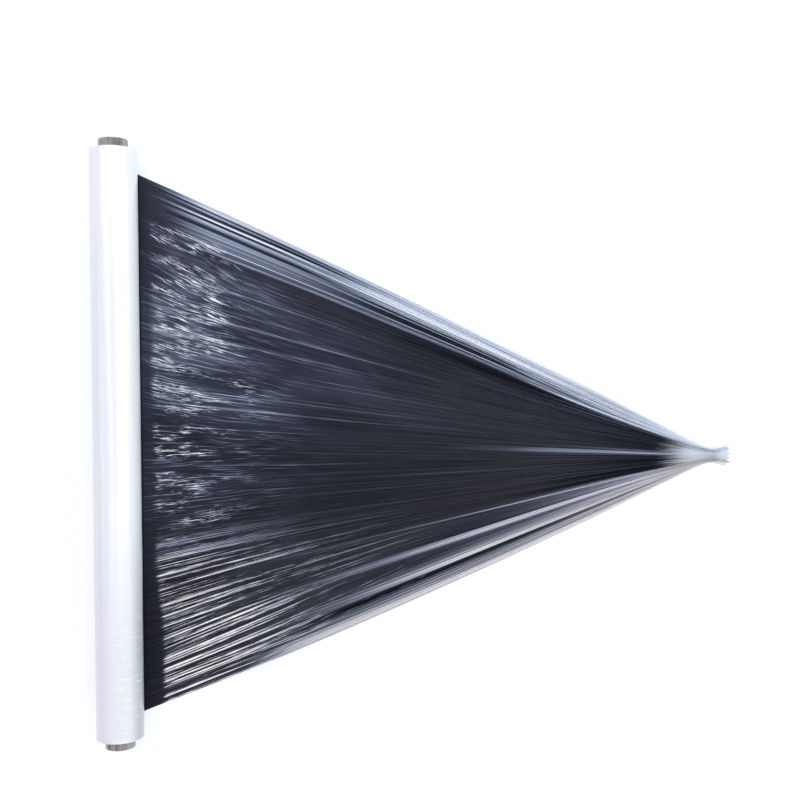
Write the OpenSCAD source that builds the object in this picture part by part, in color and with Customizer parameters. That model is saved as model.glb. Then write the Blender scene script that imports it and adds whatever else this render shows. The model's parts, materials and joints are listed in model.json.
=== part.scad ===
// Roll of concrete curing film on a paper core, lying on its side. The first metre of film is
// pulled out over the floor from under the roll and gathered to a narrow neck with a loose tail.
// X runs from the roll to the neck, Y along the core, and Z is up from the floor.

/* [Wound film] */
// Width of the film, along the core
film_w = 1000; // [600:50:1200]
// Outside diameter of the wound film
roll_d = 80; // [68:1:110]
// Width of the flat that the roll's weight presses into its underside
flat_w = 12; // [8:1:20]
// Number of bands of turns that show in each end of the roll
band_count = 6; // [3:1:9]
// How far a band of turns stands in or out of its neighbour
band_step = 0.9; // [0.3:0.1:2]
// Bevel that handling has pressed round each end of the roll
end_bevel = 1.2; // [0.5:0.1:3]

/* [Core] */
// Outside diameter of the paper core
core_d = 50; // [40:1:60]
// Wall of the core
core_wall = 5; // [3:0.5:8]
// How far the core stands out of the film at each end
core_proud = 16; // [5:1:40]
// Edge that the saw's burr leaves on the core's ends
core_edge = 0.6; // [0.3:0.1:1.5]

/* [Pulled film] */
// Distance from the roll's axis to the neck where the film is gathered
pull_len = 1055; // [800:5:1300]
// Length of the loose tail beyond the neck
tail_len = 45; // [30:5:90]
// Width of the gathered neck
neck_w = 32; // [24:1:60]
// Height of the gathered neck
neck_h = 19; // [12:1:30]
// Width of the tail's end
tail_w = 50; // [36:1:80]
// How softly the edges turn at the neck: 1 is sharp and more is rounder
neck_round = 8; // [1:1:20]
// How far the neck lies to one side of the roll's middle
neck_shift = -34; // [-120:2:120]
// How far the film's middle bows to one side of a straight line to the neck
middle_bow = -2.5; // [-20:0.5:20]
// How far each edge of the film draws in as it leaves the roll
edge_draw = 18; // [10:1:40]
// How far each edge bows out of a straight line to the neck
edge_bow = 10; // [0:1:20]
// Number of folds across the film
fold_count = 18; // [10:1:22]
// Height of the folds in the middle of the film
fold_h = 2.5; // [1:0.1:5]
// Width of the band of deeper folds along each edge
hem_w = 45; // [20:5:80]
// Height of the folds in those bands
hem_h = 8; // [4:0.5:14]
// Thickness that stands for the film and its trapped air
film_t = 0.6; // [0.4:0.1:1.2]

/* [Hidden] */
$fn = 96;

// The film is wound on the core with this clearance between the two solids.
wind_fit = 0.1;
wind_r = core_d / 2 + wind_fit;
roll_r = roll_d / 2;
// The axis sits lower than the roll's radius by what the flat takes away.
axis_z = sqrt(roll_r * roll_r - flat_w * flat_w / 4);
core_len = film_w + 2 * core_proud;
band_t = (roll_r - wind_r) / band_count;

// The pulled film is a lattice of rows across the pull and columns along it.
columns_per_fold = 4;
columns = columns_per_fold * fold_count;
tail_end = pull_len + tail_len;
root_half = film_w / 2 - 2 * band_step;
fan_half = film_w / 2 - edge_draw;
// The folds start once the film is clear of the underside of the roll.
leave_x = roll_r;
root_rows = 3;
fan_rows = 26;
tail_rows = 6;
// More than 1 sets the rows closer together towards the neck.
row_crowding = 1.4;
// Height of the root's underside inside the wound film
root_z = 0.3;
// Over this length before the neck the folds close up to a solid bunch.
close_len = 220;
// Share of the neck's height that its folds cut into
neck_cut = 0.45;
// How strongly the width is gathered at the edges: 0 is even and 1 is most
edge_gather = 0.95;

row_x = concat(
    [for (i = [0 : root_rows - 1]) leave_x * i / root_rows],
    [for (i = [0 : fan_rows - 1])
        pull_len - (pull_len - leave_x) * pow(1 - i / fan_rows, row_crowding)],
    [for (i = [0 : tail_rows]) pull_len + tail_len * i / tail_rows]);

function mix(a, b, t) = a + (b - a) * t;
function clip(t) = max(0, min(1, t));
function ease(t) = let (c = clip(t)) c * c * (3 - 2 * c);
// A steady scatter from 0 to 1 for whole number i
function scatter(i) = let (s = sin(i * 137.5 + 40) * 43.7) s - floor(s);

// Share of the way from the roll to the neck
function way(x) = clip(x / pull_len);
function soft_max(a, b, r) = (a + b + norm([a - b, r])) / 2;
function half_width(x) =
    let (least = (neck_w - neck_round) / 2,
         fan = mix(fan_half, least, x / pull_len) + 4 * edge_bow * way(x) * (1 - way(x)),
         tail = least + (tail_w - neck_w) / 2 * ease((x - pull_len) / tail_len))
    soft_max(fan, tail, neck_round) + (root_half - fan_half) * pow(clip(1 - x / leave_x), 2);
function middle_y(x) = neck_shift * way(x) + 4 * middle_bow * way(x) * (1 - way(x));

// Place across the sheet, from -1 to 1, of column j and its share of the half width at x
function column_w(j) =
    j == 0 ? -1 : j == columns ? 1 : (2 * j + 0.7 * (scatter(j) - 0.5)) / columns - 1;
function spread(w, x) =
    let (k = edge_gather * sqrt(sin(180 * way(x))))
    k < 0.05 ? w : sin(90 * k * w) / sin(90 * k);

// Each fold climbs from a valley to its crest and down again, leaning a little to one side.
fold_shape = [0, 0.6, 1, 0.4];
function fold_size(j, x) =
    let (i = floor(j / columns_per_fold))
    mix(0.45, 1, scatter(i + 7)) * (1 + 0.25 * sin(x * 0.5 + 90 * i));
function fold_wave(j, x) = fold_shape[j % columns_per_fold] * fold_size(j, x);

function closing(x) = ease((x - pull_len + close_len) / close_len);
function fan_top(j, x, s) =
    let (rise = ease((x - leave_x / 2) / (2 * roll_d)),
         hem = ease(1.5 * (1 - half_width(x) * (1 - abs(s)) / hem_w)) * ease(2.5 * way(x)))
    rise * mix(fold_h, hem_h, hem) * fold_wave(j, x);
function bunch_top(j, x, s) =
    let (arch = sqrt(max(0, 1 - s * s)), fall = mix(1, 0.6, ease((x - pull_len) / tail_len)))
    neck_h * fall * arch * (1 - neck_cut + neck_cut * fold_wave(j, x));
function top_z(j, x) =
    let (s = spread(column_w(j), x))
    film_t + root_z * clip(1 - x / flat_w)
        + mix(fan_top(j, x, s), bunch_top(j, x, s), closing(x));
function under_z(j, x) = (top_z(j, x) - film_t) * (1 - closing(x));
function place(j, x, z) =
    [x, middle_y(x) + half_width(x) * spread(column_w(j), x), z];

// Turns the Z axis along +Y and lifts it to the roll's axis.
module on_axis() {
    translate([0, 0, axis_z])
        rotate([-90, 0, 0])
            children();
}

module core() {
    outer = core_d / 2;
    inner = outer - core_wall;
    half = core_len / 2;
    e = core_edge;
    color("rosybrown")
        on_axis()
            rotate_extrude()
                polygon([
                    [inner, -half], [outer - e, -half], [outer, -half + e],
                    [outer, half - e], [outer - e, half], [inner, half]]);
}

// Half section of the wound film: bands of turns stand in and out at both ends.
function band_end(i) = film_w / 2 - band_step * (i % 2 + scatter(i)) / 2;
function end_steps(side) = [
    for (i = [0 : band_count - 1])
        let (end = band_end(side > 0 ? i : band_count - i))
        each [
            [wind_r + i * band_t, side * end],
            [wind_r + (i + 1) * band_t - (i == band_count - 1 ? end_bevel : 0), side * end]]];

module wound_film() {
    upper = end_steps(1);
    lower = end_steps(-1);
    bevel_top = upper[len(upper) - 1][1] - end_bevel;
    bevel_low = lower[len(lower) - 1][1] + end_bevel;
    difference() {
        on_axis()
            rotate_extrude()
                polygon(concat(
                    upper,
                    [[roll_r, bevel_top], [roll_r, bevel_low]],
                    [for (i = [len(lower) - 1 : -1 : 0]) lower[i]]));
        translate([-roll_r, -film_w, -roll_r])
            cube([roll_d, 2 * film_w, roll_r]);
    }
}

module pulled_film() {
    rows = len(row_x);
    across = columns + 1;
    top = [for (x = row_x) for (j = [0 : columns]) place(j, x, top_z(j, x))];
    under = [for (x = row_x) for (j = [0 : columns]) place(j, x, under_z(j, x))];
    n = rows * across;
    faces = concat(
        [for (r = [0 : rows - 2]) for (j = [0 : columns - 1])
            let (a = r * across + j, b = a + across)
            each [[a, a + 1, b + 1], [a, b + 1, b],
                  [n + a, n + b + 1, n + a + 1], [n + a, n + b, n + b + 1]]],
        [for (r = [0 : rows - 2])
            let (a = r * across, b = a + across, c = a + columns, d = b + columns)
            each [[a, b, n + b], [a, n + b, n + a], [c, n + d, d], [c, n + c, n + d]]],
        [for (j = [0 : columns - 1])
            let (a = j, b = (rows - 1) * across + j)
            each [[a, n + a + 1, a + 1], [a, n + a, n + a + 1],
                  [b, b + 1, n + b + 1], [b, n + b + 1, n + b]]]);
    polyhedron(points = concat(top, under), faces = faces);
}

// The turns and the pulled length are one sheet of film.
module film() {
    color("whitesmoke")
        union() {
            wound_film();
            pulled_film();
        }
}

core();
film();
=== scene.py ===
# Roll of concrete curing film on its paper core, lying on a pale studio floor. The first metre of
# film is pulled out over the floor and gathered to a narrow neck. Everything is in metres.
import json
import math

import bpy
import numpy as np
from mathutils import Matrix, Vector


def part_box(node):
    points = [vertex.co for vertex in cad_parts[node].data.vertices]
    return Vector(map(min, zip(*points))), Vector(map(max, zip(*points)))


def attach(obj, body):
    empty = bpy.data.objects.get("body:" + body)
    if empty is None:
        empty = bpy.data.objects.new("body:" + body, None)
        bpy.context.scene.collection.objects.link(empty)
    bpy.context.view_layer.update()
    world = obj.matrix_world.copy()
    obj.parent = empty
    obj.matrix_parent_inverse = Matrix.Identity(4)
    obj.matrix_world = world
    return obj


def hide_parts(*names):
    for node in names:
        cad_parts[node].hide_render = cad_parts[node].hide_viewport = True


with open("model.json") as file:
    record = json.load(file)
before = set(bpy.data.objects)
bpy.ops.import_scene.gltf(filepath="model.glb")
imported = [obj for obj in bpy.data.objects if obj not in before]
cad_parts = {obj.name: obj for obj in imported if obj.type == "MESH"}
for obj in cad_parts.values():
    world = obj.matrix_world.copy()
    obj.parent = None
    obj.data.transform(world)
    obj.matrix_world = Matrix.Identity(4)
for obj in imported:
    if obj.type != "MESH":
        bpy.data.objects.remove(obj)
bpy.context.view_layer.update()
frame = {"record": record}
scene = bpy.context.scene
scene.view_settings.view_transform = "Standard"


# Camera
# It looks down on the roll and the pulled film from 1.8 metres, a little to the left of the
# middle, with the roll's length up the picture.
photo_side_px = 800
focal_px = 1020.8
sensor_mm = 36.0
camera_place = (0.3086, 0.1123, 1.8125)
camera_turn = (-0.0217, -0.0990, -0.0067)

camera_data = bpy.data.cameras.new("camera")
camera_data.sensor_width = sensor_mm
camera_data.lens = focal_px / photo_side_px * sensor_mm
camera_data.clip_end = 30.0
camera = bpy.data.objects.new("camera", camera_data)
camera.location = camera_place
camera.rotation_euler = camera_turn
scene.collection.objects.link(camera)
scene.camera = camera


# Paper core
# A tube of grey-brown paper board, wound from strips on a slant and glued, then sawn to length.
# The film is wound tight on it. Its seams show as a slanting line round the tube, inside and out,
# and its plies as fine rings in the sawn ends.
core_low, core_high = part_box("core")
core_half = (core_high.y - core_low.y) / 2
core_r = (core_high.x - core_low.x) / 2
axis_z = (core_high.z + core_low.z) / 2
core_bore_r = frame["record"]["mounts"][0]["dims"]["r_mm"] / 1000
seam_pitch = 0.115
seam_gap = 0.0011
seam_depth = 0.00022
core_edge = 0.0006
bore_edge = 0.0003
plies = 5
ply_gap_half = 0.00018
ply_gap_depth = 0.00025


def ease(t):
    """Rises smoothly from 0 to 1 as t does."""
    t = np.clip(t, 0.0, 1.0)
    return t * t * (3.0 - 2.0 * t)


def mix(a, b, t):
    return a + (b - a) * t


def lattice_mesh(name, points, uvs, wrap=False):
    """A mesh through rows of points, closed on itself across the rows where wrap is set.
    uvs maps a UV layer's name to its two values at each point."""
    rows, columns = points.shape[:2]
    index = np.arange(rows * columns).reshape(rows, columns)
    right = np.roll(index, -1, axis=1) if wrap else index[:, 1:]
    left = index if wrap else index[:, :-1]
    quads = np.stack([left[:-1], right[:-1], right[1:], left[1:]], axis=-1).reshape(-1, 4)
    mesh = bpy.data.meshes.new(name)
    mesh.from_pydata(points.reshape(-1, 3).tolist(), [], quads.tolist())
    mesh.shade_smooth()
    corner = np.empty(len(mesh.loops), dtype=np.int32)
    mesh.loops.foreach_get("vertex_index", corner)
    for layer_name, values in uvs.items():
        flat = np.asarray(values, dtype=np.float32).reshape(-1, 2)
        layer = mesh.uv_layers.new(name=layer_name)
        layer.uv.foreach_set("vector", flat[corner].ravel())
    return mesh


def add_piece(name, mesh, material, slot, *nodes):
    """Puts a mesh in the scene in place of the solids that it stands for."""
    piece = bpy.data.objects.new(name, mesh)
    mesh.materials.append(material)
    scene.collection.objects.link(piece)
    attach(piece, "root")
    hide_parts(*nodes)
    return piece


def around_axis(along, radius, angle):
    """Points at a distance from the core's axis. Angle 0 is straight up and turns towards +X."""
    along, radius, angle = np.broadcast_arrays(along, radius, angle)
    return np.stack(
        [radius * np.sin(angle), along, axis_z + radius * np.cos(angle)], axis=-1
    )


def feed(tree, socket, value):
    """Links a socket to another one, or sets its value."""
    if isinstance(value, bpy.types.NodeSocket):
        tree.links.new(value, socket)
    elif value is not None:
        socket.default_value = value


def add_node(tree, kind, inputs=None, **settings):
    node = tree.nodes.new("ShaderNode" + kind)
    for name, value in settings.items():
        setattr(node, name, value)
    for name, value in (inputs or {}).items():
        feed(tree, node.inputs[name], value)
    return node


def calc(tree, operation, a, b=None, c=None):
    node = add_node(tree, "Math", operation=operation)
    for socket, value in zip(node.inputs, (a, b, c)):
        feed(tree, socket, value)
    return node.outputs[0]


def remap(tree, value, low, high, to_low=0.0, to_high=1.0):
    node = add_node(
        tree,
        "MapRange",
        {"Value": value, "From Min": low, "From Max": high, "To Min": to_low, "To Max": to_high},
        interpolation_type="SMOOTHSTEP",
    )
    return node.outputs["Result"]


def remap_straight(tree, value, low, high):
    node = add_node(tree, "MapRange", {"Value": value, "From Min": low, "From Max": high})
    return node.outputs["Result"]


def product(tree, value, *others):
    for other in others:
        value = calc(tree, "MULTIPLY", value, other)
    return value


def blend_colour(tree, share, first, second, way="MIX"):
    node = add_node(tree, "Mix", data_type="RGBA", blend_type=way)
    feed(tree, node.inputs[0], share)
    feed(tree, node.inputs[6], first)
    feed(tree, node.inputs[7], second)
    return node.outputs[2]


def ramp(tree, value, stops):
    """A colour, or a grey from 0 to 1, for each value between the stops' places."""
    node = add_node(tree, "ValToRGB", {"Fac": value})
    elements = node.color_ramp.elements
    for place, _ in stops[2:]:
        elements.new(place)
    for element, (place, tone) in zip(elements, stops):
        element.position = place
        element.color = tone if isinstance(tone, tuple) else (tone, tone, tone, 1.0)
    return node.outputs["Color"]


def srgb(red, green, blue):
    """A colour as a picture shows it, from 0 to 255, as the linear one that a shader takes."""
    def linear(c):
        c = c / 255
        return c / 12.92 if c <= 0.04045 else ((c + 0.055) / 1.055) ** 2.4
    return (linear(red), linear(green), linear(blue), 1.0)


def new_group(name, inputs, outputs):
    """A shader node group with float inputs and outputs, and its two end nodes."""
    group = bpy.data.node_groups.new(name, "ShaderNodeTree")
    for socket in inputs:
        group.interface.new_socket(socket, in_out="INPUT", socket_type="NodeSocketFloat")
    for socket in outputs:
        group.interface.new_socket(socket, in_out="OUTPUT", socket_type="NodeSocketFloat")
    start = group.nodes.new("NodeGroupInput")
    end = group.nodes.new("NodeGroupOutput")
    return group, start, end


def place_group(tree, group, **inputs):
    node = tree.nodes.new("ShaderNodeGroup")
    node.node_tree = group
    for name, value in inputs.items():
        feed(tree, node.inputs[name], value)
    return node


def drawn_lines_group():
    """Long wavering lines, as in drawn film or board fibre. Stroke picks out their crests."""
    group, start, end = new_group(
        "drawn_lines", ["Along", "Across", "Length", "Width", "Waver", "Seed"], ["Tone", "Stroke"]
    )
    along = calc(group, "DIVIDE", start.outputs["Along"], start.outputs["Length"])
    across = calc(group, "DIVIDE", start.outputs["Across"], start.outputs["Width"])
    slow = calc(group, "MULTIPLY", across, 0.22)
    far = calc(group, "ADD", start.outputs["Seed"], 17.3)
    place = add_node(group, "CombineXYZ", {"X": along, "Y": slow, "Z": far})
    sway = add_node(
        group, "TexNoise", {"Vector": place.outputs[0], "Scale": 1.6, "Detail": 1.0}
    )
    shift = calc(group, "SUBTRACT", sway.outputs["Fac"], 0.5)
    shift = calc(group, "MULTIPLY", shift, start.outputs["Waver"])
    across = calc(group, "ADD", across, shift)
    place = add_node(group, "CombineXYZ", {"X": along, "Y": across, "Z": start.outputs["Seed"]})
    line = add_node(
        group,
        "TexNoise",
        {"Vector": place.outputs[0], "Scale": 1.0, "Detail": 3.0, "Roughness": 0.55},
    )
    tone = remap(group, line.outputs["Fac"], 0.32, 0.68)
    stroke = remap(group, line.outputs["Fac"], 0.56, 0.66)
    group.links.new(tone, end.inputs["Tone"])
    group.links.new(stroke, end.inputs["Stroke"])
    return group


drawn_lines = drawn_lines_group()


def new_material(name):
    material = bpy.data.materials.new(name)
    material.use_nodes = True
    tree = material.node_tree
    return material, tree, tree.nodes["Principled BSDF"]


def uv_axes(tree, layer):
    """A UV layer's place, and its two values."""
    place = add_node(tree, "UVMap", uv_map=layer).outputs[0]
    axes = add_node(tree, "SeparateXYZ", {"Vector": place})
    return place, axes.outputs["X"], axes.outputs["Y"]


def board_material():
    material, tree, shader = new_material("core_board")
    place, along, around = uv_axes(tree, "board")
    fibre = place_group(
        tree, drawn_lines, Along=along, Across=around,
        Length=0.03, Width=0.0016, Waver=1.5, Seed=3.0,
    )
    # Painted highlight: broad lengthwise bands lighten the board where its gloss would catch the
    # light
    painted_gloss_bands = place_group(
        tree, drawn_lines, Along=along, Across=around,
        Length=0.9, Width=0.0085, Waver=0.4, Seed=7.0,
    )
    mottle = add_node(tree, "TexNoise", {"Vector": place, "Scale": 60.0, "Detail": 4.0})
    cut = add_node(tree, "Attribute", attribute_name="sawn")
    seam = add_node(tree, "Attribute", attribute_name="seam")
    tone = calc(tree, "MULTIPLY", fibre.outputs["Tone"], 0.20)
    tone = calc(tree, "MULTIPLY_ADD", mottle.outputs["Fac"], 0.25, tone)
    tone = calc(tree, "MULTIPLY_ADD", painted_gloss_bands.outputs["Tone"], 0.65, tone)
    face = blend_colour(tree, tone, srgb(50, 44, 44), srgb(178, 171, 169))
    face = blend_colour(tree, seam.outputs["Fac"], face, srgb(58, 50, 48))
    ends = blend_colour(tree, mottle.outputs["Fac"], srgb(120, 104, 92), srgb(178, 160, 144))
    feed(tree, shader.inputs["Base Color"], blend_colour(tree, cut.outputs["Fac"], face, ends))
    rough = remap(tree, mottle.outputs["Fac"], 0.3, 0.7, 0.24, 0.36)
    rough = calc(tree, "MULTIPLY_ADD", cut.outputs["Fac"], 0.35, rough)
    feed(tree, shader.inputs["Roughness"], rough)
    shader.inputs["Coat Weight"].default_value = 0.6
    shader.inputs["Coat Roughness"].default_value = 0.25
    bump = add_node(
        tree, "Bump", {"Height": fibre.outputs["Tone"], "Distance": 0.0002, "Strength": 0.35}
    )
    feed(tree, shader.inputs["Normal"], bump.outputs["Normal"])
    return material


def core_mesh():
    """One closed profile, swept round the axis: out along the bore's wall and back outside."""
    around = 144
    angle = np.linspace(-math.pi, math.pi, around, endpoint=False)
    wall = core_r - core_bore_r
    skin = np.linspace(-core_half + core_edge, core_half - core_edge, 320)
    profile = [(y, core_r, 0.0) for y in skin]
    for side in (1, -1):
        face = [(side * core_half, core_r - core_edge, 1.0)]
        for ply in range(1, plies):
            r = core_r - wall * ply / plies
            face += [
                (side * core_half, r + ply_gap_half, 1.0),
                (side * (core_half - ply_gap_depth), r, 1.0),
                (side * core_half, r - ply_gap_half, 1.0),
            ]
        face += [(side * core_half, core_bore_r + bore_edge, 1.0)]
        if side > 0:
            profile += face + [(y, core_bore_r, 0.0) for y in skin[::-1]]
        else:
            profile += face[::-1]
    profile.append(profile[0])
    along, radius, sawn = (np.array(column)[:, None] for column in zip(*profile))
    turn = np.mod(along / seam_pitch - angle[None, :] / (2 * math.pi), 1.0)
    off_seam = np.minimum(turn, 1 - turn) * seam_pitch
    seam = (1 - sawn) * (1 - ease(off_seam / seam_gap))
    outer = radius > core_r - core_edge / 2
    radius = radius - np.where(outer, 1.0, -1.0) * seam * seam_depth
    points = around_axis(along, radius, angle[None, :])
    board = np.stack([np.broadcast_to(along, seam.shape), seam * 0 + angle * core_r], axis=-1)
    mesh = lattice_mesh("core_tube", points, {"board": board}, wrap=True)
    for name, values in (("sawn", sawn + seam * 0), ("seam", seam)):
        layer = mesh.attributes.new(name, "FLOAT", "POINT")
        layer.data.foreach_set("value", values.astype(np.float32).ravel())
    return mesh


core_tube = add_piece("core_tube", core_mesh(), board_material(), "core_board", "core")


# Wound film
# Hundreds of turns of clear film, milky white where they lie on each other. The turns stand in and
# out by up to a millimetre at each end, and their weight presses a narrow flat on the underside.
film_low, film_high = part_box("film")
roll_r = film_high.z - axis_z
roll_half = (film_high.y - film_low.y) / 2
wind_r = core_r + 0.0001
end_bevel = 0.0012
turn_bands = 6
band_step = 0.0009
turn_gap_depth = 0.00012
turn_gap_below = 0.0001
turn_gap_above = 0.00012
swell_h = 0.00035
fine_swell_h = 0.00012
sunk = 0.0002
flat_z = 0.0004
grain_table = (97, 89)


def grain(u, v, seed):
    """Smooth scatter between -0.5 and 0.5 over two values, the same each time."""
    table = np.random.default_rng(seed).random(grain_table) - 0.5
    iu = np.floor(u).astype(int)
    iv = np.floor(v).astype(int)
    fu = ease(u - iu)
    fv = ease(v - iv)

    def at(a, b):
        return table[np.mod(a, grain_table[0]), np.mod(b, grain_table[1])]
    low = mix(at(iu, iv), at(iu + 1, iv), fu)
    high = mix(at(iu, iv + 1), at(iu + 1, iv + 1), fu)
    return mix(low, high, fv)


def wound_mesh():
    around = 200
    angle = np.linspace(-math.pi, math.pi, around, endpoint=False)
    along = np.linspace(-roll_half + end_bevel, roll_half - end_bevel, 240)
    rings = 44
    scatter = np.random.default_rng(5)
    ring_r = np.linspace(wind_r, roll_r - end_bevel, rings)
    ring_band = (np.arange(rings) * turn_bands // rings) % 2
    profile_y = []
    profile_r = []
    for side in (-1, 1):
        proud = ring_band * band_step / 2 + scatter.random(rings) * band_step * 0.45
        end_y = side * (roll_half - proud)
        steps = range(rings) if side < 0 else range(rings - 1, -1, -1)
        face = []
        for i in steps:
            face.append((end_y[i] - side * turn_gap_depth, ring_r[i] - turn_gap_below))
            face.append((end_y[i], ring_r[i] + turn_gap_above))
        profile_y += [y for y, _ in face]
        profile_r += [r for _, r in face]
        if side < 0:
            profile_y += along.tolist()
            profile_r += [roll_r] * len(along)
    y = np.array(profile_y)[:, None]
    r = np.array(profile_r)[:, None]
    outside = r > roll_r - end_bevel / 2
    swell = grain(y / 0.05, angle[None, :] * 14 / math.pi, 11) * swell_h
    swell += grain(y / 0.012, angle[None, :] * 20 / math.pi, 12) * fine_swell_h
    points = around_axis(y, r + np.where(outside, swell - sunk, 0.0), angle[None, :])
    points[..., 2] = np.maximum(points[..., 2], flat_z)
    turns = np.stack([y + swell * 0, angle[None, :] * roll_r + y * 0], axis=-1)
    return lattice_mesh("film_turns", points, {"turns": turns}, wrap=True)


def wound_material():
    material, tree, shader = new_material("film_turns")
    _, along, around = uv_axes(tree, "turns")
    shade = place_group(
        tree, drawn_lines, Along=along, Across=around,
        Length=0.9, Width=0.016, Waver=0.8, Seed=8.0,
    )
    ripple = place_group(
        tree, drawn_lines, Along=around, Across=along,
        Length=0.035, Width=0.004, Waver=2.2, Seed=21.0,
    )
    # Around the roll 0 is its top, and 0.063 is the side that the film is pulled to
    # Painted light on the roll: the lengthwise shade bands are painted shade and sheen, both sides
    # get painted shade, and the far side a pale painted rim light
    lower = remap(tree, along, -0.06, -0.40)
    side = remap(tree, around, 0.022, 0.036)
    far_rim_painted_light = remap(tree, around, 0.050, 0.060)
    tint = blend_colour(tree, shade.outputs["Tone"], srgb(236, 235, 246), srgb(253, 250, 250))
    tint = blend_colour(tree, remap(tree, around, -0.040, -0.058), tint, srgb(244, 243, 251))
    side_painted_shade = blend_colour(tree, lower, srgb(240, 243, 244), srgb(234, 233, 239))
    tint = blend_colour(tree, side, tint, side_painted_shade)
    tint = blend_colour(tree, far_rim_painted_light, tint, srgb(236, 247, 249))
    # Painted shade: a dark outline along the roll's far edge
    tint = blend_colour(tree, remap(tree, around, 0.063, 0.069), tint, srgb(190, 205, 210))
    # Painted shade on the lower end of the roll, greyest on the far side
    low_painted_shade = blend_colour(
        tree, remap(tree, around, -0.03, 0.012), srgb(240, 234, 243), srgb(229, 229, 231)
    )
    low_painted_shade = blend_colour(tree, remap(tree, around, 0.022, 0.044), low_painted_shade, srgb(182, 187, 188))
    tint = blend_colour(tree, calc(tree, "MULTIPLY", lower, 0.85), tint, low_painted_shade)
    # Painted highlights on the ripple crests, strongest on the lower end; the ripples are bumped as
    # well
    streak = calc(tree, "MULTIPLY_ADD", lower, 0.42, 0.04)
    streak = calc(tree, "MULTIPLY", ripple.outputs["Stroke"], streak)
    colour = blend_colour(tree, streak, tint, srgb(250, 252, 254))
    feed(tree, shader.inputs["Base Color"], colour)
    shader.inputs["Roughness"].default_value = 0.28
    shader.inputs["Coat Weight"].default_value = 0.4
    shader.inputs["Coat Roughness"].default_value = 0.12
    bump = add_node(
        tree, "Bump", {"Height": ripple.outputs["Tone"], "Distance": 0.0003, "Strength": 0.25}
    )
    feed(tree, shader.inputs["Normal"], bump.outputs["Normal"])
    return material


film_turns = add_piece("film_turns", wound_mesh(), wound_material(), "clear_film", "film")


# Pulled film
# The free end of the same film, a metre of it, drawn out from under the roll and gathered to a
# neck. Its edges slacken into bands of pleats, its middle stays nearly flat, and it is crinkled
# where it leaves the roll. It shows dark between highlights, partly real and partly painted in
# its colour as glints and sheen, and white where it is bunched.
film_w = 1.0
pull_len = 1.055
tail_len = film_high.x - pull_len
neck_w = 0.032
neck_h = 0.019
neck_round = 0.008
tail_w = 0.050
neck_shift = -0.034
middle_bow = -0.0025
edge_draw = 0.018
edge_bow = 0.010
leave_x = roll_r
close_len = 0.22
fold_top = 0.010
fine_top = 0.0070
crinkle_h = 0.0035
ragged_len = 0.012
film_lift = 0.0003


def half_width(x):
    way = np.clip(x / pull_len, 0, 1)
    least = (neck_w - neck_round) / 2
    wide = film_w / 2 - edge_draw
    fan = wide + (least - wide) * x / pull_len + 4 * edge_bow * way * (1 - way)
    tail = least + (tail_w - neck_w) / 2 * ease((x - pull_len) / tail_len)
    half = (fan + tail + np.hypot(fan - tail, neck_round)) / 2
    return half + (edge_draw - 0.002) * np.clip(1 - x / leave_x, 0, 1) ** 2


def middle(x):
    way = np.clip(x / pull_len, 0, 1)
    return neck_shift * way + 4 * middle_bow * way * (1 - way)


def closeness(share, half):
    """How many times closer together the film lies there than when it is flat."""
    mean = np.maximum(film_w / 2 / half, 1.0)
    inner = mean ** 0.42
    power = np.where(share > 0, 7.0, 4.5)
    gain = (power + 1) * (mean / inner - 1)
    return inner * (1 + gain * np.abs(share) ** power)


def pleat(turns):
    """A rounded pleat from 0 to 1, once a turn."""
    saw = np.abs(2 * (turns - np.floor(turns)) - 1)
    return 0.12 * saw + 0.88 * ease(saw)


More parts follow.
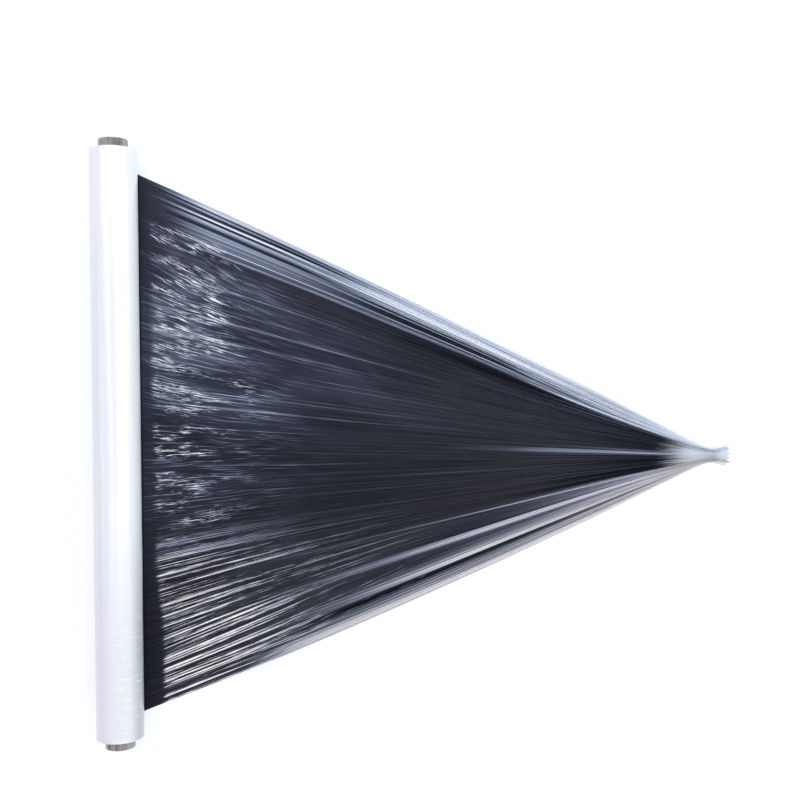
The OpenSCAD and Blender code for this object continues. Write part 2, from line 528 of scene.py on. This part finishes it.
def pulled_mesh():
    columns = 921
    rows = 106
    fold_pairs = 11
    pleat_pairs = 46
    w = np.linspace(-1, 1, columns)
    # Each column of points follows a line in the film, from -1 to 1 across it. The lines crowd
    # towards the edges, and near the neck those in the edge bands spread inwards.
    lean = 0.62
    line = np.sin(math.pi / 2 * lean * w) / math.sin(math.pi / 2 * lean)
    row_at = [0, 0.06, 0.44, 0.74, 1]
    row_x = [0, 0.05, 0.35, 0.95, pull_len + tail_len]
    x = np.interp(np.linspace(0, 1, rows), row_at, row_x)[:, None]
    inset = 1 - np.abs(line)
    spread = 1.6 * np.clip((x - 0.2) / 0.83, 0, 1) ** 2.1
    share = np.sign(line) * (1 - inset * (1 + spread * (1 - inset) ** 4))
    half = half_width(x)
    y = middle(x) + half * share

    fold = pleat(w * fold_pairs + grain(w * 5, x / 0.9, 31) * 0.6)
    fine = pleat(w * pleat_pairs + grain(w * 15, x / 0.9, 32) * 0.7)
    fine *= 1 + 0.7 * grain(w * pleat_pairs, x / 0.22, 33)
    gap = np.gradient(y, axis=1) * (columns - 1) / 2
    close = closeness(share, half)
    slope = np.sqrt(close ** 2 - 1)
    gathered = ease((close - 1.3) / 1.5)
    fold_h = np.minimum(gap / fold_pairs / 2 * slope * mix(0.12, 0.5, gathered), fold_top)
    fine_h = np.minimum(gap / pleat_pairs / 2 * slope * mix(0.34, 1.0, gathered), fine_top)
    fan_z = ease((x - 0.03) / 0.12) * (fold_h * fold + fine_h * fine)

    tilt = y + 0.35 * share * x + 0.05 * grain(y / 0.07, x / 0.09, 37)
    crinkle = np.abs(grain(x / 0.045, tilt / 0.004, 35))
    crinkle = crinkle + 0.5 * np.abs(grain(x / 0.022, tilt / 0.0025, 36))
    patch = ease(0.5 + 2.5 * grain(x / 0.11, y / 0.05, 38))
    crinkle *= patch * ease((x - 0.048) / 0.012) * (1 - ease((x - 0.07) / 0.20))
    fan_z = fan_z + crinkle_h * crinkle * ease((share + 0.45) / 0.2)

    closing = ease((x - pull_len + close_len) / close_len)
    arch = np.sqrt(np.maximum(0, 1 - share ** 2))
    fall = mix(1, 0.6, ease((x - pull_len) / tail_len))
    bunch_z = neck_h * fall * arch * (0.70 + 0.22 * fold + 0.08 * fine)
    z = film_lift + mix(fan_z, bunch_z, closing)
    across_all = np.zeros_like(y)
    ragged = ragged_len * ease((x - pull_len) / tail_len) * (0.5 - grain(w * 9, 0 * w, 39))
    points = np.stack([x - ragged, y, z], axis=-1)
    pull = np.stack([x + across_all, across_all + line * film_w / 2], axis=-1)
    span = np.stack([x + across_all, share], axis=-1)
    return lattice_mesh("film_pulled", points, {"pull": pull, "span": span})


# Where the two gathered bands lie in the flat film, from the inner edge of each to the film's edge
upper_band = (0.39, 0.50)
lower_band = (-0.24, -0.50)
# Whiteness of the strips in a band, from its inner edge at 0 to the film's edge at 1. The upper
# band's strips differ near the roll and further on.
upper_near_strips = (
    (0.0, 0.0), (0.12, 0.20), (0.145, 0.62), (0.17, 0.24), (0.24, 0.32), (0.264, 0.74),
    (0.285, 0.34), (0.35, 0.46), (0.50, 0.54), (0.53, 0.80), (0.55, 0.10), (0.59, 0.08),
    (0.615, 0.66), (0.70, 0.76), (0.72, 0.08), (0.745, 0.08), (0.765, 1.0), (0.784, 1.0),
    (0.80, 0.10), (0.84, 0.08), (0.86, 0.70), (0.885, 0.66), (0.90, 0.16), (0.925, 0.90),
    (1.0, 0.88),
)
upper_far_strips = (
    (0.0, 0.0), (0.10, 0.20), (0.14, 0.76), (0.17, 0.42), (0.245, 0.34), (0.27, 0.92),
    (0.30, 0.34), (0.36, 0.08), (0.395, 0.12), (0.42, 0.66), (0.47, 0.58), (0.495, 0.06),
    (0.515, 0.12), (0.545, 0.94), (0.74, 1.0), (0.84, 0.96), (0.865, 0.82), (0.90, 0.95),
    (1.0, 0.95),
)
lower_strips = (
    (0.0, 0.0), (0.075, 0.12), (0.09, 0.52), (0.11, 0.12), (0.25, 0.12), (0.38, 0.22),
    (0.41, 0.74), (0.45, 0.68), (0.475, 0.40), (0.56, 0.20), (0.65, 0.46), (0.68, 0.86),
    (0.745, 0.92), (0.77, 0.08), (0.81, 0.12), (0.83, 0.58), (0.90, 0.52), (0.92, 1.0),
    (0.955, 0.98), (0.97, 0.84), (1.0, 0.86),
)
# Tones of the film from its dark, flat middle to its bunched white edges
film_tones = (
    (0.0, srgb(12, 12, 19)), (0.25, srgb(50, 54, 70)), (0.55, srgb(132, 141, 162)),
    (0.8, srgb(208, 217, 232)), (1.0, srgb(247, 250, 254)),
)


def line_drawer(tree, along, line):
    """A function that draws long lines in the film and gives their tone, or only their strokes."""
    def draw(length, width, waver, seed, across=line, output="Tone"):
        node = place_group(
            tree, drawn_lines, Along=along, Across=across,
            Length=length, Width=width, Waver=waver, Seed=seed,
        )
        return node.outputs[output]
    return draw


def fine_strips(tree, draw):
    """Strips a few millimetres wide, which the gathered bands and the neck are made of."""
    strips = calc(tree, "MULTIPLY", draw(1.2, 0.0030, 0.3, 42.0), 0.6)
    return calc(tree, "MULTIPLY_ADD", draw(0.9, 0.0013, 0.3, 43.0), 0.4, strips)


def band_white(tree, draw, along, line, strips):
    """The gathered bands along both edges, which whiten and run together to the neck."""
    drift = calc(tree, "MULTIPLY_ADD", draw(0.5, 0.012, 0.3, 44.0), 0.004, -0.002)
    drifted = calc(tree, "ADD", line, drift)
    drawn_in = calc(tree, "ADD", drifted, remap(tree, along, 0.60, 0.97, 0.0, 0.026))
    upper = remap_straight(tree, drawn_in, *upper_band)
    near = ramp(tree, upper, upper_near_strips)
    near = calc(tree, "MULTIPLY", near, remap(tree, along, 0.045, 0.17, 0.20, 1.0))
    far = calc(tree, "SUBTRACT", ramp(tree, upper, upper_far_strips), near)
    upper = calc(tree, "MULTIPLY_ADD", far, remap(tree, along, 0.26, 0.52), near)
    lower = ramp(tree, remap_straight(tree, drifted, *lower_band), lower_strips)
    # The outermost strip whitens nearest to the roll
    start = calc(tree, "ADD", along, remap(tree, line, -0.455, -0.480, 0.0, 0.22))
    lower = calc(tree, "MULTIPLY", lower, remap(tree, start, 0.20, 0.66, 0.25, 1.0))
    bands = calc(tree, "MAXIMUM", upper, lower)
    # Towards the neck the film closes up, and its darker strips whiten too
    bands = calc(tree, "POWER", bands, remap(tree, along, 0.45, 0.98, 1.0, 0.14))
    return calc(tree, "MULTIPLY", bands, remap(tree, strips, 0.1, 0.75, 0.68, 1.18))


def middle_white(tree, draw, along, line, patches):
    """Haze and faint streaks in the middle, with a paler fan of them before the neck. The faint
    streaks are given too, for their bump."""
    haze = product(
        tree, remap(tree, along, 0.10, 0.70, 0.13, 0.03),
        remap(tree, patches, 0.0, 1.0, 0.5, 1.3), remap(tree, line, -0.02, 0.16, 0.60, 1.75),
    )
    faint = calc(tree, "MULTIPLY", draw(0.9, 0.0085, 0.5, 2.0), draw(0.5, 0.0035, 0.5, 5.0))
    faint = remap(tree, faint, 0.35, 0.95, 0.0, 0.24)
    fan = calc(tree, "ABSOLUTE", calc(tree, "SUBTRACT", line, 0.012))
    fan = calc(tree, "SUBTRACT", fan, calc(tree, "MULTIPLY_ADD", along, 0.07, -0.03))
    fan = product(
        tree, remap(tree, fan, 0.035, -0.02), remap(tree, along, 0.45, 0.98),
        remap(tree, draw(1.5, 0.0085, 0.3, 61.0), 0.35, 0.85, 0.06, 0.66),
    )
    late = product(
        tree, remap(tree, draw(0.7, 0.010, 0.4, 62.0), 0.45, 0.95, 0.0, 0.26),
        remap(tree, along, 0.55, 0.90),
        remap(tree, calc(tree, "ABSOLUTE", line), 0.22, 0.39, 0.8, 2.2),
    )
    fan = calc(tree, "MAXIMUM", fan, late)
    return calc(tree, "MAXIMUM", calc(tree, "ADD", haze, faint), fan), faint


def crinkle_glints(tree, draw, along, line, slant, begun):
    """Painted glints on crinkles in clumps close to the roll, and fainter painted glint trails
    beyond them.
    """
    crinkles = calc(
        tree, "MAXIMUM", draw(0.048, 0.0023, 0.35, 9.0, slant, "Stroke"),
        draw(0.024, 0.0014, 0.35, 12.0, slant, "Stroke"),
    )
    clumps = draw(0.10, 0.030, 1.2, 18.0)
    reach = calc(tree, "MULTIPLY_ADD", clumps, -0.14, along)
    near = product(
        tree, begun, remap(tree, reach, 0.18, -0.06),
        remap(tree, clumps, 0.2, 0.8, 0.12, 1.25), remap(tree, line, 0.432, 0.415),
    )
    sparkle = product(
        tree, crinkles, near,
        remap(tree, line, -0.28, -0.16, 0.45, 1.0), remap(tree, line, -0.04, 0.06, 0.72, 1.0),
    )
    trails = product(
        tree, draw(0.11, 0.0022, 0.3, 13.0, slant, "Stroke"),
        remap(tree, along, 0.50, 0.10, 0.0, 0.40), remap(tree, line, 0.40, 0.36),
    )
    return sparkle, trails


def slack_painted_glints(tree, draw, along, fanned, slack, gaps):
    """Long painted highlight streaks in the slack half, broad at the roll and tapering out, with a
    painted sheen in the gaps between them."""
    streaks = calc(tree, "MULTIPLY", draw(0.60, 0.0060, 0.25, 51.0, fanned), 0.36)
    streaks = calc(tree, "MULTIPLY_ADD", draw(0.34, 0.0021, 0.25, 52.0, fanned), 0.50, streaks)
    streaks = calc(tree, "MULTIPLY_ADD", draw(0.030, 0.0022, 0.8, 53.0, fanned), 0.14, streaks)
    streaks = calc(tree, "ADD", streaks, remap(tree, along, 0.05, 0.65, 0.02, -0.12))
    streaks = product(
        tree, remap(tree, streaks, 0.573, 0.74, 0.0, 1.35), slack,
        remap(tree, along, 0.80, 0.10), remap(tree, along, 0.05, 0.30, 1.0, 0.72),
    )
    sheen = remap(tree, draw(0.16, 0.0040, 0.4, 54.0, fanned), 0.45, 0.90, 0.0, 0.34)
    return calc(tree, "MAXIMUM", streaks, calc(tree, "MULTIPLY", sheen, gaps))


def smooth_strip_white(tree, white, line, strips):
    """The smooth strip beside the roll, which only faint lines cross."""
    smooth = calc(tree, "MULTIPLY", white, remap(tree, line, -0.34, -0.15, 0.20, 0.42))
    smooth = calc(tree, "ADD", smooth, remap(tree, line, -0.40, -0.05, 0.02, 0.14))
    slack_lines = remap(tree, strips, 0.45, 0.85)
    slack_lines = calc(tree, "MULTIPLY", slack_lines, remap(tree, line, -0.10, -0.30))
    return calc(tree, "MULTIPLY_ADD", slack_lines, 0.16, smooth)


def neck_white(tree, along, strips):
    """The bunched neck and tail, where the white begins later on some strips than on others."""
    neck = calc(tree, "MULTIPLY_ADD", calc(tree, "SUBTRACT", strips, 0.5), 0.10, along)
    neck = remap(tree, neck, 0.975, 1.010)
    return calc(tree, "MULTIPLY", neck, remap(tree, strips, 0.2, 0.6, 0.80, 1.0))


def pulled_material():
    material, tree, shader = new_material("film_pulled")
    _, along, line = uv_axes(tree, "pull")
    _, _, share = uv_axes(tree, "span")
    draw = line_drawer(tree, along, line)
    strips = fine_strips(tree, draw)
    patches = draw(0.22, 0.10, 1.0, 15.0)

    # Lines that fan out follow the film's edges, and slanted ones lean to its middle as well
    lean = product(tree, along, share, 0.17)
    edge_near = remap(tree, calc(tree, "ABSOLUTE", share), 0.7, 1.0, 1.0, 0.0)
    fanned = calc(tree, "MULTIPLY_ADD", lean, edge_near, line)
    slant = calc(tree, "MULTIPLY_ADD", lean, 0.7, fanned)
    slant = calc(tree, "MULTIPLY_ADD", patches, 0.009, slant)
    # The film is dark and smooth for the first ten millimetres, and a little further at one end
    start = calc(tree, "MULTIPLY", remap(tree, line, -0.21, -0.38), 0.013)
    begun = remap(tree, calc(tree, "SUBTRACT", along, start), 0.047, 0.064)

    white = band_white(tree, draw, along, line, strips)
    middle, faint = middle_white(tree, draw, along, line, patches)
    white = calc(tree, "MAXIMUM", white, middle)
    # Painted highlights: glints on the crinkles near the roll, which also get a bump
    sparkle, trails = crinkle_glints(tree, draw, along, line, slant, begun)
    white = calc(tree, "ADD", white, trails)
    white = calc(tree, "MULTIPLY_ADD", sparkle, 1.3, white)
    slack = remap(tree, line, -0.10, -0.30)
    gaps = calc(tree, "MULTIPLY", slack, remap(tree, along, 0.36, 0.10))
    # Painted highlights: long glint streaks in the slack half and a painted sheen between them
    streaks = slack_painted_glints(tree, draw, along, fanned, slack, gaps)
    streaks = calc(tree, "MULTIPLY", streaks, begun)
    white = calc(tree, "MULTIPLY", white, remap(tree, gaps, 0.0, 1.0, 1.0, 0.12))
    white = calc(tree, "MAXIMUM", white, streaks)
    smooth = smooth_strip_white(tree, white, line, strips)
    white = calc(tree, "MULTIPLY", white, begun)
    white = calc(tree, "MULTIPLY_ADD", smooth, calc(tree, "SUBTRACT", 1.0, begun), white)
    # Painted shade: a dark line lies where the film comes out from under the roll
    white = calc(tree, "MULTIPLY", white, remap(tree, along, 0.034, 0.039))
    white = calc(tree, "MAXIMUM", white, neck_white(tree, along, strips))

    tones = ramp(tree, white, film_tones)
    # The slack half is a little greyer
    greyer = remap(tree, line, -0.06, -0.26)
    tones = blend_colour(tree, greyer, tones, (0.97, 0.89, 0.84, 1.0), "MULTIPLY")
    feed(tree, shader.inputs["Base Color"], tones)
    shader.inputs["Roughness"].default_value = 0.26
    shader.inputs["Specular IOR Level"].default_value = 0.20
    height = calc(tree, "MULTIPLY", strips, 0.3)
    height = calc(tree, "MULTIPLY_ADD", faint, 1.0, height)
    height = calc(tree, "MULTIPLY_ADD", streaks, 0.4, height)
    height = calc(tree, "MULTIPLY_ADD", sparkle, 0.8, height)
    bump = add_node(tree, "Bump", {"Height": height, "Distance": 0.0010, "Strength": 0.6})
    feed(tree, shader.inputs["Normal"], bump.outputs["Normal"])
    return material


film_pulled = add_piece("film_pulled", pulled_mesh(), pulled_material(), "clear_film", "film")


# Studio
# A plain pale floor and soft lamps. The floor shows near white and keeps a faint shadow.
floor_mesh = bpy.data.meshes.new("floor")
floor_side = 14.0
floor_mesh.from_pydata(
    [(-floor_side, -floor_side, 0), (floor_side, -floor_side, 0),
     (floor_side, floor_side, 0), (-floor_side, floor_side, 0)],
    [], [(0, 1, 2, 3)],
)
floor = bpy.data.objects.new("floor", floor_mesh)
scene.collection.objects.link(floor)
floor_paint, floor_tree, floor_shader = new_material("floor_paint")
floor_shader.inputs["Base Color"].default_value = srgb(214, 214, 216)
floor_shader.inputs["Roughness"].default_value = 0.9
floor_shader.inputs["Specular IOR Level"].default_value = 0.1
rays = add_node(floor_tree, "LightPath")
seen = calc(floor_tree, "MAXIMUM", rays.outputs["Is Camera Ray"], rays.outputs["Is Glossy Ray"])
seen = calc(floor_tree, "MAXIMUM", seen, rays.outputs["Is Transmission Ray"])
floor_shader.inputs["Emission Color"].default_value = srgb(255, 255, 255)
feed(floor_tree, floor_shader.inputs["Emission Strength"], calc(floor_tree, "MULTIPLY", seen, 0.42))
floor_mesh.materials.append(floor_paint)

world = bpy.data.worlds.new("studio")
world.use_nodes = True
world.node_tree.nodes["Background"].inputs["Color"].default_value = srgb(236, 240, 248)
world.node_tree.nodes["Background"].inputs["Strength"].default_value = 0.60
scene.world = world


def soft_lamp(name, place, aim, size, power):
    lamp = bpy.data.lights.new(name, "AREA")
    lamp.shape = "RECTANGLE"
    lamp.size, lamp.size_y = size
    lamp.energy = power
    lamp.color = (0.93, 0.96, 1.0)
    holder = bpy.data.objects.new(name, lamp)
    away = (Vector(aim) - Vector(place)).to_track_quat("-Z", "Y").to_matrix()
    holder.matrix_world = Matrix.Translation(place) @ away.to_4x4()
    scene.collection.objects.link(holder)


soft_lamp("key", (-1.2, 1.0, 2.4), (0.3, 0.0, 0.0), (1.6, 1.6), 20.0)
soft_lamp("side_up", (0.5, 2.2, 1.3), (0.5, 0.0, 0.0), (2.6, 0.7), 20.0)
soft_lamp("side_down", (0.5, -2.2, 1.3), (0.5, 0.0, 0.0), (2.6, 0.7), 18.0)
soft_lamp("side_right", (2.3, 0.2, 1.5), (0.0, 0.0, 0.0), (0.9, 2.0), 11.0)
soft_lamp("neck", (1.5, 0.1, 1.2), (1.0, -0.03, 0.0), (0.5, 0.5), 6.0)
